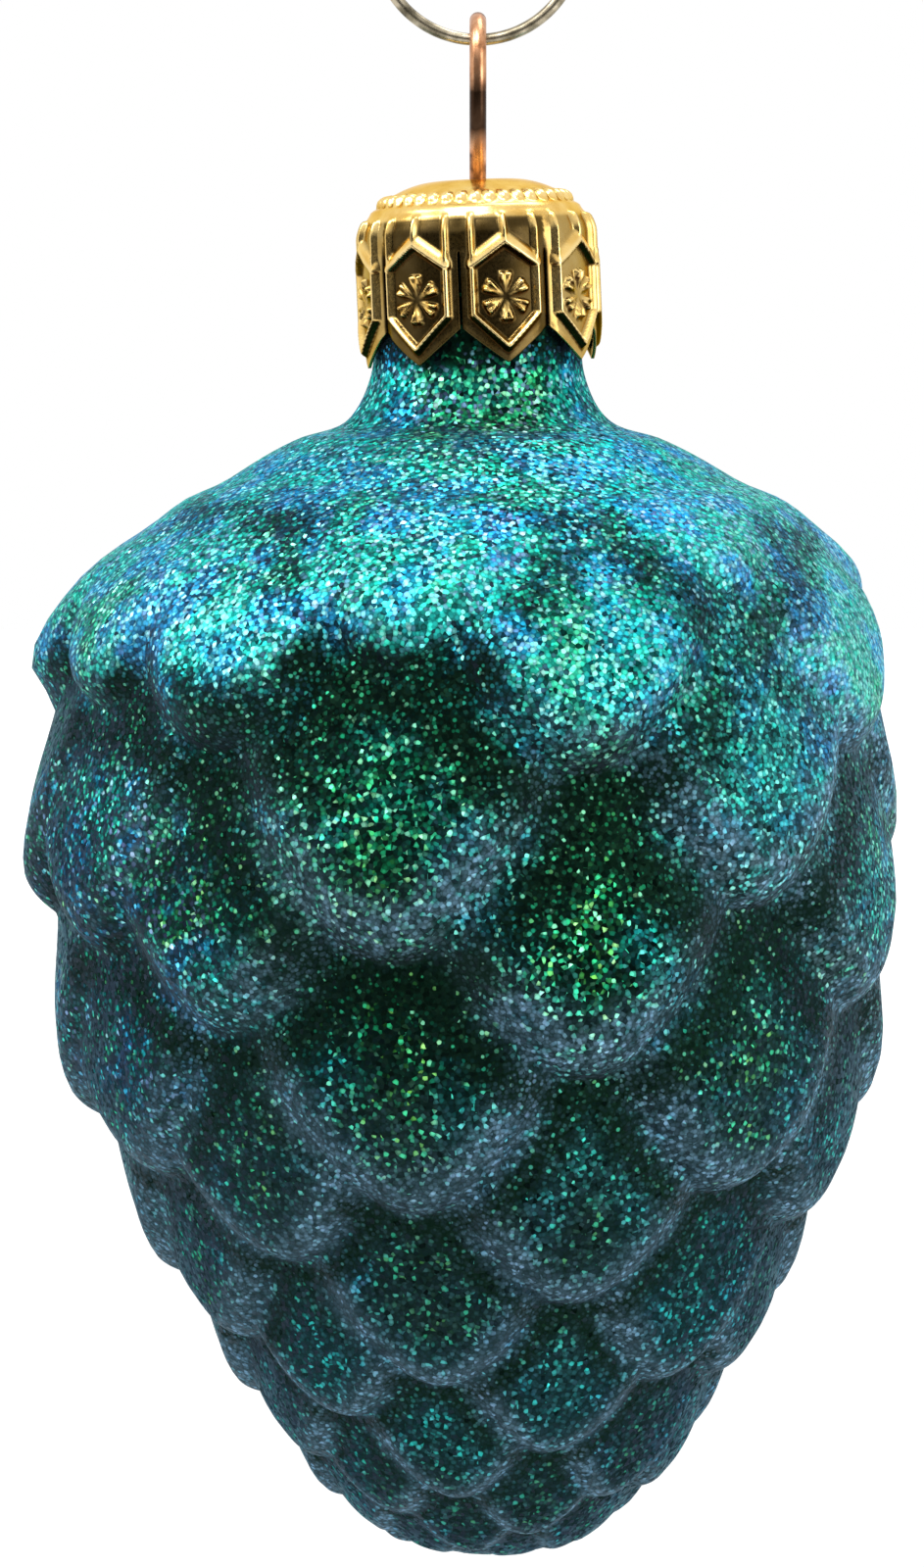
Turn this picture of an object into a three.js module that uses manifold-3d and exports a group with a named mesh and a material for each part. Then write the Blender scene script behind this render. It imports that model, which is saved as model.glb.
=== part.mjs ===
// A blown-glass pine cone ornament with its crown cap, hanger wire and hanging ring.
// It hangs along Z from the inside top of the ring, which is the origin. The front faces -Y. Millimetres.
import * as THREE from 'three';
import { mergeVertices } from 'three/addons/utils/BufferGeometryUtils.js';
import Module from 'manifold-3d';

// Clearances
const runningGap = 0.3; // between pieces that touch or turn on each other
const mouthGap = 0.65; // straight up from the mouth's outer edge to the inside of the cap's dome
const neckGap = 0.3; // between the neck and the inside of the cap's skirt

// Hanging ring: a jump ring of round wire, closed end to end
const ringWire = 0.78;
const ringInside = 11.98; // diameter of its hole
const ringEndGap = 0.3;
const ringJointTurn = 62; // where its two ends meet, in degrees up from +X

// Hanger wire: a loop over two springy legs
const hangerWire = 1.05;
const loopWidth = 5.8; // between the middles of its two sides
const loopHeight = 10.5; // of the loop above the cap
const throatWidth = 2.4; // between the middles of the legs where they pass the cap
const bowTurns = [15, 40, 65, 90]; // points on the bow over the ring, in degrees from the top
const bellyShare = 0.94; // of the loop below its bow, as a share of loopWidth
const bellyDropShare = 0.45; // of the way from the bow's middle down to the cap
const legBendShare = 0.55; // share of the spread that the legs have half way down
const legShort = 0.8; // how far above the foot of the neck the legs end

// Crown cap: a domed top with a row of beads, and a skirt of pointed petals
const capSheet = 0.35;
const capRadius = 7.4; // of the skirt, without its embossing
const domeHeight = 3.5;
const domeFlat = 2.5; // radius of its flat top
const domePower = 1.75; // 2 would make the section of the dome's side a quarter of an ellipse, 1 a straight line
const domeSteps = 5;
const skirtHeight = 8; // from the foot of the dome to the tips of the petals
const petals = 8;
const frontPetalTurn = 13; // of the middle of one petal, in degrees from the front towards +X
const petalPoint = 2.2; // height of the petals' pointed ends
const petalSlot = 0.36; // width of the slit between two petals
const slitLength = 7.0;
const notchOverrun = 1; // how far the cut between two petals runs on below their tips
const ribWidth = 0.5;
const ribProud = 0.3; // how far the embossing stands out
const ribOverrun = 0.15; // how far each rib runs past its end points
const sideMargin = 0.5; // from the side of a petal to the side of its frame
const frameMargin = 1.0; // from the tip of the frame to the tip of the petal
const ribRise = 1.15; // how far the upright ribs run up the dome's side
const frameTopShare = 0.08; // below the foot of the dome as a share of the skirt's height, as are the next three
const frameShoulderShare = 0.26;
const flowerShare = 0.49; // of the embossed flower's middle
const frameFootShare = 0.62;
const flowerWidth = 2.2;
const flowerRibs = 3;
const beads = 40;
const beadRadius = 0.4;
const beadDrop = 1.15; // of the row of beads below the flat top

// Glass cone
const glassWall = 0.9; // of the neck and under the thinnest part of a scale
const neckTaper = 0.3; // how much narrower the neck is at its mouth than at its foot
const neckShows = 2.9; // length of the neck below the cap
const bodyLength = 73.2; // from the foot of the neck to the bottom of the ground surface
const bodyRadius = 24.5; // of the ground surface, which the scales stand on
const footBlend = 2.2; // from the last straight point of the neck to its foot

// The ground surface: first from the neck's foot outwards, as [share of the way from the neck's radius to
// the body's, share of the body's length]. Then downwards, as [share of the body's radius, share of its length]
const shoulderOutline = [
  [0.09, 0.01],
  [0.275, 0.026],
  [0.46, 0.05],
  [0.69, 0.088],
  [0.86, 0.135],
  [0.945, 0.19],
  [0.97, 0.274],
  [0.985, 0.377],
];
const lowerOutline = [
  [0.97, 0.463],
  [0.93, 0.549],
  [0.85, 0.627],
  [0.75, 0.705],
  [0.645, 0.782],
  [0.53, 0.853],
  [0.41, 0.916],
  [0.28, 0.963],
  [0.145, 0.99],
];

// The blown body wanders a little: how far its middle lies towards +X, as [share of the body's length, mm]
const sway = [
  [0, 0],
  [0.09, 0.4],
  [0.225, -0.5],
  [0.39, -0.6],
  [0.58, 0],
  [0.77, 0.7],
  [1, 0.8],
];

// Scales: they lie in columns, like shingles, and each next column sits half a scale lower
const stepShare = 0.33; // from one ring of lips to the next, as a share of the radius
const scaleHalfTurn = 21; // half the turn that a scale takes up, in degrees
const edgeSteps = 1.22; // depth of its curved lower edge, in ring steps
const scaleCurve = 1.9; // 1 would make the lower edge a V, 2 a bow
const lipShare = 0.135; // how far a lip stands out, as a share of the radius
const fallShare = 0.1; // width of the fall at a lip, as a share of the radius
const lipRoundness = 0.75; // of the fall, whose top is fuller at lower values
const taperSteps = 3.4; // ring steps over which a scale sinks from its lip to nothing
const rimShare = 0.05; // height of the rolled rim, as a share of the lip's height
const rimInside = 0.75; // of the rim's crest from the lip's edge, and its spread, as shares of the lip's fall
const rimSpread = 0.6;
const bulgeShare = 0.08; // height of the swelling over a lip, as a share of the lip's height
const bulgeUp = 0.5; // of its middle above the scale's lowest point, and its spread, in ring steps
const bulgeSpread = 0.6;
const sideDropShare = 0.12; // how much lower a scale lies at its sides, as a share of the lip's height
const unevenShare = 0.06; // how much the scales' heights differ
const unevenPerColumn = 2.3; // how that difference runs on from column to column and from ring to ring, in radians
const unevenPerRing = 4.1;
const liftRadius = 2; // added to the ground radius where sizes follow the radius
const firstLipsShare = 0.19; // where the first full ring of lips lies, as a share of the body's length
const fadeStartStep = -1.7; // ring step where the shoulder's scales begin to rise
const fadeSteps = 2.3;
const rings = 13;
const upperRings = 2; // faint rings on the shoulder above the first full one
const driftSpan = 7; // rings over which a column's drift goes from its upper to its lower value
const insideShare = 0.35; // of the lips' height that the inner face follows
const widestAcross = 1.3; // half scale widths past which a scale is always covered

// The mould was cut by hand, so its columns differ a little: how far their lips lie below the even pattern
// at the top and at the bottom, in ring steps, and how full they are. They are evenly spread.
const firstColumnTurn = -87.6; // from the front towards +X, in degrees
const columns = [
  { top: 1.2, low: -0.3, full: 1.2 },
  { top: 0.35, low: -0.5, full: 1.05 },
  { top: -0.4, low: -0.5, full: 1.0 },
  { top: 0.0, low: -0.1, full: 1.0 },
  { top: -0.35, low: 0.0, full: 1.0 },
  { top: -0.5, low: 0.1, full: 1.0 },
  { top: -0.2, low: -0.8, full: 0.95 },
  { top: -0.25, low: -0.5, full: 0.9 },
  { top: -0.2, low: -0.5, full: 0.95 },
  { top: 0.0, low: 0.0, full: 1.0 },
  { top: 0.0, low: 0.0, full: 1.0 },
  { top: 0.0, low: 0.0, full: 1.0 },
  { top: 0.3, low: 0.0, full: 1.0 },
  { top: 0.6, low: -0.2, full: 1.1 },
];

// Fineness of the meshes
const wireSides = 8;
const ringSteps = 44;
const hangerSteps = 60;
const capSides = 40;
const sidesPerColumn = 5;
const rowsPerRing = 4; // three at its lip and the rest above it
const meshedRings = 12; // rings whose lips have rows of their own
const lipRowSteps = 0.15; // from a lip's edge to the rows over and under it, in ring steps
const rowMarginSteps = 0.42; // least distance between the edges of two rings, in ring steps
const shoulderRows = 16; // from the mouth to the first full ring of lips
const finePerPoint = 60; // fine points of the ground for each point of its outline
const mergeError = 0.01; // flat faces of the cap are joined within this

// Heights along Z and radii that follow from the sizes above
const ringMiddle = -ringInside / 2;
const ringFoot = -ringInside - ringWire / 2; // middle of the wire at the bottom of the ring
const loopTop = ringFoot + ringWire / 2 + runningGap + hangerWire / 2; // middle of the wire
const capTop = loopTop + hangerWire / 2 - loopHeight;
const capHeight = domeHeight + skirtHeight;
const holeRadius = throatWidth / 2 + hangerWire / 2 + runningGap;
const skirtBore = capRadius - capSheet;
const neckFoot = skirtBore - neckGap; // radius of the neck's outside at its foot
const neckRadius = neckFoot - neckTaper; // and at its mouth
const boreRadius = neckRadius - glassWall;
const neckFootZ = capTop - capHeight - neckShows;
const mouthOut = (neckRadius - domeFlat) / (skirtBore - domeFlat);
const neckTop = capTop - capSheet - domeDrop(mouthOut, domeHeight - capSheet) - mouthGap;
const neckLength = neckTop - neckFootZ;
const legEnd = neckFootZ + legShort;

const wasm = await Module();
wasm.setup();

function radians(degrees) {
  return THREE.MathUtils.degToRad(degrees);
}

function smooth(value) {
  return THREE.MathUtils.smoothstep(value, 0, 1);
}

// A mesh with its shared vertices merged and only positions kept
function merged(geometry) {
  const bare = geometry.clone();
  bare.deleteAttribute('normal');
  bare.deleteAttribute('uv');
  return mergeVertices(bare, 1e-4);
}

function toSolid(geometry) {
  const bare = merged(geometry);
  const vertProperties = new Float32Array(bare.attributes.position.array);
  const triVerts = new Uint32Array(bare.index.array);
  return new wasm.Manifold(new wasm.Mesh({ numProp: 3, vertProperties, triVerts }));
}

function toGeometry(solid) {
  const mesh = solid.getMesh();
  const geometry = new THREE.BufferGeometry();
  geometry.setAttribute('position', new THREE.BufferAttribute(new Float32Array(mesh.vertProperties), 3));
  geometry.setIndex(new THREE.BufferAttribute(new Uint32Array(mesh.triVerts), 1));
  geometry.computeVertexNormals();
  return geometry;
}

function named(name, geometry, color, roughness, metalness) {
  const material = new THREE.MeshStandardMaterial({ color, roughness, metalness });
  const mesh = new THREE.Mesh(geometry, material);
  mesh.name = name;
  return mesh;
}

function wireAlong(path, diameter, steps) {
  const section = new THREE.Shape();
  section.absarc(0, 0, diameter / 2, 0, 2 * Math.PI, false);
  return new THREE.ExtrudeGeometry(section, { steps, extrudePath: path, curveSegments: wireSides / 2 });
}

// Hanging ring
class RingPath extends THREE.Curve {
  getPoint(share, target = new THREE.Vector3()) {
    const radius = (ringInside + ringWire) / 2;
    const open = ringEndGap / radius;
    const angle = radians(ringJointTurn) + open / 2 + share * (2 * Math.PI - open);
    return target.set(radius * Math.cos(angle), 0, ringMiddle + radius * Math.sin(angle));
  }
}

function hangingRing() {
  return named('hanging_ring', wireAlong(new RingPath(), ringWire, ringSteps), 0x8a6a3c, 0.35, 1);
}

// Hanger wire, in the plane X = 0
function hangerPath() {
  const bow = loopWidth / 2;
  const bowMiddle = loopTop - bow;
  const throat = throatWidth / 2;
  const legFoot = boreRadius - runningGap - hangerWire / 2;
  const side = [];
  for (const turn of bowTurns) {
    side.push([bow * Math.sin(radians(turn)), bowMiddle + bow * Math.cos(radians(turn))]);
  }
  side.push([bow * bellyShare, THREE.MathUtils.lerp(bowMiddle, capTop, bellyDropShare)]);
  side.push([throat, capTop + capSheet]);
  side.push([throat, capTop - 2 * capSheet]);
  side.push([THREE.MathUtils.lerp(throat, legFoot, legBendShare), (capTop + legEnd) / 2]);
  side.push([legFoot, legEnd + hangerWire]);
  side.push([legFoot, legEnd]);
  const right = side.map(([y, z]) => new THREE.Vector3(0, y, z));
  const left = side.map(([y, z]) => new THREE.Vector3(0, -y, z)).reverse();
  return new THREE.CatmullRomCurve3([...left, ...right], false, 'centripetal');
}

function hanger() {
  return named('hanger_wire', wireAlong(hangerPath(), hangerWire, hangerSteps), 0x9c5f3c, 0.3, 1);
}

// Crown cap
// How far a dome has dropped at a share of the way from its flat top to its side
function domeDrop(share, height) {
  return height * (1 - (1 - share ** domePower) ** (1 / domePower));
}

// Radius of the cap's outside at a drop below its top
function capRadiusAt(drop) {
  const up = Math.max(1 - drop / domeHeight, 0);
  return domeFlat + (capRadius - domeFlat) * (1 - up ** domePower) ** (1 / domePower);
}

// The dome's section from its flat top to the skirt, as points of [radius, drop below the top]
function domeArc(radius, drop) {
  const points = [];
  for (let i = 0; i <= domeSteps; i += 1) {
    const share = Math.sin((i / domeSteps) * (Math.PI / 2)) ** (2 / domePower);
    points.push([domeFlat + (radius - domeFlat) * share, drop + domeDrop(share, domeHeight - drop)]);
  }
  return points;
}

function capShell() {
  const outside = [[holeRadius, 0], ...domeArc(capRadius, 0), [capRadius, capHeight]];
  const inside = [[holeRadius, capSheet], ...domeArc(skirtBore, capSheet), [skirtBore, capHeight]];
  const closed = [...outside, ...inside.reverse(), outside[0]];
  const points = closed.map(([radius, drop]) => new THREE.Vector2(radius, capTop - drop)).reverse();
  return new THREE.LatheGeometry(points, capSides).rotateX(Math.PI / 2);
}

// The slit and the notch between two petals, cut out towards -Y before it is turned into place
function petalNotch() {
  const halfPitch = capRadius * Math.sin(Math.PI / petals);
  const shape = new THREE.Shape();
  const low = capTop - capHeight - notchOverrun;
  const lowHalf = halfPitch * (1 + notchOverrun / petalPoint);
  shape.moveTo(-petalSlot / 2, capTop - capHeight + slitLength);
  shape.lineTo(-petalSlot / 2, capTop - capHeight + petalPoint);
  shape.lineTo(-lowHalf, low);
  shape.lineTo(lowHalf, low);
  shape.lineTo(petalSlot / 2, capTop - capHeight + petalPoint);
  shape.lineTo(petalSlot / 2, capTop - capHeight + slitLength);
  shape.closePath();
  const reach = 4 * ribProud + capSheet;
  const cutter = new THREE.ExtrudeGeometry(shape, { depth: 2 * reach, bevelEnabled: false });
  return cutter.rotateX(Math.PI / 2).translate(0, reach - capRadius, 0);
}

// A straight embossed rib between two points of a petal: [distance along the petal's width, drop]
function rib([acrossA, dropA], [acrossB, dropB]) {
  const place = (across, drop) => {
    const turn = across / capRadius;
    const radius = capRadiusAt(drop);
    return new THREE.Vector3(radius * Math.sin(turn), -radius * Math.cos(turn), capTop - drop);
  };
  const start = place(acrossA, dropA);
  const end = place(acrossB, dropB);
  const along = end.clone().sub(start);
  const middle = start.clone().add(end).multiplyScalar(0.5);
  const out = new THREE.Vector3(middle.x, middle.y, 0).normalize();
  const length = along.length() + 2 * ribOverrun;
  along.normalize();
  const across = new THREE.Vector3().crossVectors(along, out).normalize();
  const away = new THREE.Vector3().crossVectors(across, along);
  const bar = new THREE.BoxGeometry(ribWidth, length, 2 * ribProud);
  const pose = new THREE.Matrix4().makeBasis(across, along, away).setPosition(middle);
  return bar.applyMatrix4(pose);
}

function petalRibs() {
  const petalWidth = (2 * Math.PI * capRadius) / petals - petalSlot;
  const half = (petalWidth - ribWidth) / 2 - sideMargin;
  const [top, shoulder, middle, foot] = [frameTopShare, frameShoulderShare, flowerShare, frameFootShare].map(
    (share) => domeHeight + share * skirtHeight,
  );
  const tip = capHeight - frameMargin;
  const frame = [[0, top], [half, shoulder], [half, foot], [0, tip], [-half, foot], [-half, shoulder]];
  const ribs = frame.map((corner, i) => rib(corner, frame[(i + 1) % frame.length]));
  for (const [across, below] of [[0, top], [half, shoulder], [-half, shoulder]]) {
    ribs.push(rib([across, domeHeight - ribRise], [across, domeHeight]));
    ribs.push(rib([across, domeHeight], [across, below]));
  }
  for (let i = 0; i < flowerRibs; i += 1) {
    const turn = (i * Math.PI) / flowerRibs;
    const across = (flowerWidth / 2) * Math.sin(turn);
    const up = (flowerWidth / 2) * Math.cos(turn);
    ribs.push(rib([-across, middle - up], [across, middle + up]));
  }
  return ribs;
}

function beadRing() {
  const bead = new THREE.IcosahedronGeometry(beadRadius);
  bead.translate(capRadiusAt(beadDrop), 0, capTop - beadDrop);
  return Array.from({ length: beads }, (_, i) => toSolid(bead.clone().rotateZ((i * 2 * Math.PI) / beads)));
}

function crownCap() {
  const pieces = [toSolid(capShell()), ...beadRing()];
  const cuts = [];
  const ribs = petalRibs();
  const notch = petalNotch();
  for (let i = 0; i < petals; i += 1) {
    const turn = radians(frontPetalTurn) + (i * 2 * Math.PI) / petals;
    pieces.push(...ribs.map((bar) => toSolid(bar.clone().rotateZ(turn))));
    cuts.push(toSolid(notch.clone().rotateZ(turn + Math.PI / petals)));
  }
  const cap = wasm.Manifold.union(pieces).subtract(wasm.Manifold.union(cuts));
  return named('crown_cap', toGeometry(cap.simplify(mergeError)), 0xd9a441, 0.25, 1);
}

// Glass cone
// Points of the ground's outline, from the mouth of the neck to the bottom
function outlinePoints() {
  const place = (radius, down) => new THREE.Vector2(radius, neckFootZ - down * bodyLength);
  return [
    new THREE.Vector2(neckRadius, neckTop),
    new THREE.Vector2((neckRadius + neckFoot) / 2, neckTop - neckLength / 2),
    new THREE.Vector2(neckFoot, neckFootZ + footBlend),
    ...shoulderOutline.map(([share, down]) => place(THREE.MathUtils.lerp(neckFoot, bodyRadius, share), down)),
    ...lowerOutline.map(([share, down]) => place(bodyRadius * share, down)),
    place(0, 1),
  ];
}

// Each fine point with its outward direction and its ring step, which is 0 at the first full ring of lips
function groundRows() {
  const corners = outlinePoints();
  const points = new THREE.SplineCurve(corners).getPoints(finePerPoint * (corners.length - 1));
  const firstZ = neckFootZ - firstLipsShare * bodyLength;
  let step = 0;
  let stepAtFirst = 0;
  const rows = points.map((point, i) => {
    const before = points[Math.max(i - 1, 0)];
    const after = points[Math.min(i + 1, points.length - 1)];
    const along = after.clone().sub(before).normalize();
    if (i > 0) {
      const radius = (point.x + before.x) / 2 + liftRadius;
      step += point.distanceTo(before) / (stepShare * radius);
    }
    if (point.y > firstZ) {
      stepAtFirst = step;
    }
    return { point, out: new THREE.Vector2(-along.y, along.x), step };
  });
  rows.at(-1).out.set(0, -1);
  for (const row of rows) {
    row.step -= stepAtFirst;
  }
  return rows;
}

// Height of the lips at a row, before each column's own fullness
function lipAt(row) {
  return lipShare * (row.point.x + liftRadius) * smooth((row.step - fadeStartStep) / fadeSteps);
}

// Height of one scale over the ground, as a share of the lips' height. below is how far the point lies
// above the scale's lowest point in ring steps, across how far it lies to its side in half scale widths.
function scaleShare(across, below, radius) {
  const side = Math.abs(across);
  const edge = edgeSteps * side ** scaleCurve;
  const slope = edgeSteps * scaleCurve * side ** (scaleCurve - 1) * (stepShare / radians(scaleHalfTurn));
  const inside = ((below - edge) * stepShare * radius) / Math.hypot(1, slope);
  const fall = fallShare * radius;
  const outer = THREE.MathUtils.clamp(0.5 - inside / fall, 0, 1);
  const rim = rimShare * Math.exp(-(((inside / fall - rimInside) / rimSpread) ** 2));
  const bulge = bulgeShare * Math.exp(-(((below - bulgeUp) / bulgeSpread) ** 2));
  return (1 - outer ** 2) ** lipRoundness * (1 - below / taperSteps + rim + bulge - sideDropShare * side ** 2);
}

// How far a turn lies from a column's middle, in half scale widths
function acrossColumn(turn, index) {
  const away = turn - radians(firstColumnTurn) - (index * 2 * Math.PI) / columns.length;
  return Math.atan2(Math.sin(away), Math.cos(away)) / radians(scaleHalfTurn);
}

// Ring step of the lowest point of one scale
function lipStep(column, ring) {
  const share = THREE.MathUtils.clamp(ring / driftSpan, -1, 1);
  return ring + THREE.MathUtils.lerp(column.top, column.low, share);
}

// The columns are odd and even by turns, and so are their rings
function holdsRing(index, ring) {
  return (index + ring) % 2 !== 0;
}

function reliefAt(row, turn) {
  const radius = row.point.x + liftRadius;
  const lip = lipAt(row);
  let height = 0;
  columns.forEach((column, i) => {
    const across = acrossColumn(turn, i);
    if (Math.abs(across) > widestAcross) {
      return;
    }
    for (let ring = -upperRings; ring < rings; ring += 1) {
      const below = lipStep(column, ring) - row.step;
      if (holdsRing(i, ring) && below > -1 && below < taperSteps) {
        const uneven = 1 + unevenShare * Math.sin(unevenPerColumn * i + unevenPerRing * ring);
        height = Math.max(height, lip * column.full * uneven * scaleShare(across, below, radius));
      }
    }
  });
  return height;
}

// Ring step of a ring's visible edge at a turn: the lower edge of its own nearest scale, or a line just
// below the scale of the ring above where that one covers it
function edgeStep(ring, turn) {
  let own = -Infinity;
  let cover = -Infinity;
  columns.forEach((column, i) => {
    const across = Math.abs(acrossColumn(turn, i));
    const edge = edgeSteps * across ** scaleCurve;
    if (across < widestAcross && holdsRing(i, ring)) {
      own = Math.max(own, lipStep(column, ring) - edge);
    }
    if (across < widestAcross && holdsRing(i, ring - 1)) {
      cover = Math.max(cover, lipStep(column, ring - 1) - edge + rowMarginSteps);
    }
  });
  return Math.max(own, cover);
}

// The ground at a ring step, between the fine rows
function groundAt(rows, step) {
  let low = 0;
  let high = rows.length - 1;
  while (high - low > 1) {
    const middle = (low + high) >> 1;
    if (rows[middle].step <= step) {
      low = middle;
    } else {
      high = middle;
    }
  }
  const share = THREE.MathUtils.clamp((step - rows[low].step) / (rows[high].step - rows[low].step), 0, 1);
  return {
    point: rows[low].point.clone().lerp(rows[high].point, share),
    out: rows[low].out.clone().lerp(rows[high].out, share).normalize(),
    step: THREE.MathUtils.lerp(rows[low].step, rows[high].step, share),
  };
}

// Ring steps of the outside's rows at one turn, from the mouth to the bottom. They follow the lips.
function outerSteps(rows, turn) {
  const steps = [rows[0].step];
  for (let ring = 0; ring < meshedRings; ring += 1) {
    const above = steps.at(-1);
    const edge = edgeStep(ring, turn);
    const between = ring === 0 ? shoulderRows : rowsPerRing - 2;
    for (let i = 1; i < between; i += 1) {
      steps.push(THREE.MathUtils.lerp(above, edge - lipRowSteps, i / between));
    }
    steps.push(edge - lipRowSteps, edge, edge + lipRowSteps);
  }
  const last = rows.at(-1).step;
  return [...steps, (steps.at(-1) + last) / 2, last];
}

function insidePoint(row, isMouth) {
  const depth = insideShare * lipAt(row) - glassWall;
  const moved = isMouth ? new THREE.Vector2(-glassWall, 0) : row.out.clone().multiplyScalar(depth);
  return new THREE.Vector2(Math.max(row.point.x + moved.x, 0), row.point.y + moved.y);
}

// Points of the outside at one turn, from the bottom to the mouth
function outsidePoints(rows, turn) {
  const points = outerSteps(rows, turn).map((step) => {
    const row = groundAt(rows, step);
    return row.point.clone().addScaledVector(row.out, reliefAt(row, turn));
  });
  points.at(-1).set(0, rows.at(-1).point.y);
  return points.reverse();
}

// How far the body's middle lies towards +X at a height
function swayAt(height) {
  const down = THREE.MathUtils.clamp((neckFootZ - height) / bodyLength, 0, 1);
  const next = Math.max(sway.findIndex(([share]) => share >= down), 1);
  const [[above, from], [below, to]] = sway.slice(next - 1, next + 1);
  return THREE.MathUtils.mapLinear(down, above, below, from, to);
}

// The glass is turned from its outline, then each side's outer points are moved out to the scales
function glassCone() {
  const rows = groundRows();
  const sides = sidesPerColumn * columns.length;
  const inside = rows.filter((_, i) => i % finePerPoint === 0);
  const outline = [...outsidePoints(rows, 0), ...inside.map((row, i) => insidePoint(row, i === 0))];
  const geometry = new THREE.LatheGeometry(outline, sides).rotateX(Math.PI / 2);
  geometry.rotateZ(radians(firstColumnTurn));
  const place = geometry.attributes.position;
  for (let side = 0; side <= sides; side += 1) {
    const turn = radians(firstColumnTurn) + ((side % sides) * 2 * Math.PI) / sides;
    outsidePoints(rows, turn).forEach((point, i) => {
      place.setXYZ(side * outline.length + i, point.x * Math.sin(turn), -point.x * Math.cos(turn), point.y);
    });
  }
  for (let i = 0; i < place.count; i += 1) {
    place.setX(i, place.getX(i) + swayAt(place.getZ(i)));
  }
  return named('glass_cone', merged(geometry), 0x0f5f5c, 0.35, 0.4);
}

const ornament = new THREE.Group();
ornament.name = 'pine_cone_ornament';
ornament.add(hangingRing(), hanger(), crownCap(), glassCone());

export default ornament;
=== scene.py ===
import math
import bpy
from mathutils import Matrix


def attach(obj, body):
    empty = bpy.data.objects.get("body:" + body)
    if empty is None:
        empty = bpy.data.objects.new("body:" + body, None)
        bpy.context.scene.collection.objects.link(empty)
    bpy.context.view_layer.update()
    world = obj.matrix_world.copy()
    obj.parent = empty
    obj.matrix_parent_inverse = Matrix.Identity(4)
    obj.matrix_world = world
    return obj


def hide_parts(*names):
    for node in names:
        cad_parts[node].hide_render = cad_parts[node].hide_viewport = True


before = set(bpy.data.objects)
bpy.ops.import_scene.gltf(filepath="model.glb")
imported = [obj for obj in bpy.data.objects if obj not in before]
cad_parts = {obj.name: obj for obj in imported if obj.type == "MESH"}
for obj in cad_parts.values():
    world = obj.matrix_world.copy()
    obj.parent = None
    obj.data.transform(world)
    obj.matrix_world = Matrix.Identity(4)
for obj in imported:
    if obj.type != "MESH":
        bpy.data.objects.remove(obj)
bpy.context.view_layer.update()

# The glass pine cone ornament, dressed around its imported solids.
# Sizes are in millimetres until a mesh is made, and every mesh is in metres in the part's frame.
from types import SimpleNamespace

import bmesh
import bpy
import numpy as np
from mathutils import Vector

MM = 0.001

# Sizes of the ring and the hanger wire
RING_WIRE, RING_INSIDE, RING_GAP, RING_JOINT = 0.78, 11.98, 0.3, 62.0
WIRE, LOOP_WIDTH, LOOP_HEIGHT, THROAT = 1.05, 5.8, 10.5, 2.4
BOW_TURNS, BELLY_WIDTH, BELLY_DROP, LEG_BEND, LEG_SHORT = (15, 40, 65, 90), 0.94, 0.45, 0.55, 0.8
HANGER_POINTS, RING_POINTS, WIRE_SIDES, RING_SUNK = 24, 220, 24, 0.01

# Sizes of the crown cap
GAP, MOUTH_GAP, NECK_GAP = 0.3, 0.65, 0.3
SHEET, CAP_R, DOME_H, DOME_FLAT, DOME_POWER, SKIRT = 0.35, 7.4, 3.5, 2.5, 1.75, 8.0
PETALS, FRONT_PETAL, PETAL_POINT, PETAL_SLOT, SLIT = 8, 13.0, 2.2, 0.16, 7.0
FRAME_MARGIN, SIDE_MARGIN, BEADS, BEAD_DROP, CAP_LEAN = 1.0, 0.5, 40, 1.15, 2.5
FRAME_SHARES = (0.08, 0.26, 0.49, 0.62)  # of the skirt's height
FRAME_TOP, FRAME_SHOULDER, FLOWER_DROP, FRAME_FOOT = [DOME_H + s * SKIRT for s in FRAME_SHARES]
BAR_HEIGHT, PEAK_HEIGHT, POST_HEIGHT, FLOWER_HEIGHT, BEAD_HEIGHT = 0.36, 0.34, 0.30, 0.30, 0.30
CELL_TOP, CELL_DEPTH, SIDE_TUCK, FOOT_TUCK, FLARE = 2.35, 0.09, 0.13, 0.04, 0.10
SHEET_SUNK = 0.02  # how far the visible sheet lies inside the solid
SHEET_SHOWS = 0.57  # the visible sheet's thickness, as a share of the solid's
PETAL_COLUMNS, TOP_ROWS, DOME_ROWS, BAND_ROWS, PETAL_ROWS = 53, 6, 34, 10, 66
HOLLOW_SHADE = (1.0, 0.55, 0.7, 0.85, 0.85, 0.7, 0.6, 1.0)  # how dark the painted shade in each petal's hollows is, darkest at the front and lightest on the sides
FRAME_REACHES = [(0.75, 0.2), (0.3, 0.3), (0.26, 0.34)]  # above and below the bars' lines
PEAK_REACHES, POST_REACHES = (0.26, 0.26), (0.24, 0.24)
LEAVES, LEAF_START, LEAF_END, LEAF_ROOT, LEAF_WIDTH, LEAF_WIDEST = 6, 0.18, 1.62, 0.05, 0.44, 1.5
BEAD_R, BEAD_STRETCH, BEAD_ROUND = 0.44, 1.4, 0.6
BAND, GROOVE = (0.07, 1.8, 0.14), (0.04, 1.5, 0.1)  # height, drop and spread
SLOT_ROUND, FLARE_START, FLARE_LENGTH = 0.35, 8.5, 3.0

# Sizes of the glass body
WALL, NECK_TAPER, NECK_SHOWS, BODY_LENGTH, BODY_R, FOOT_BLEND = 0.9, 0.3, 2.9, 73.2, 24.4, 2.2

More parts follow.
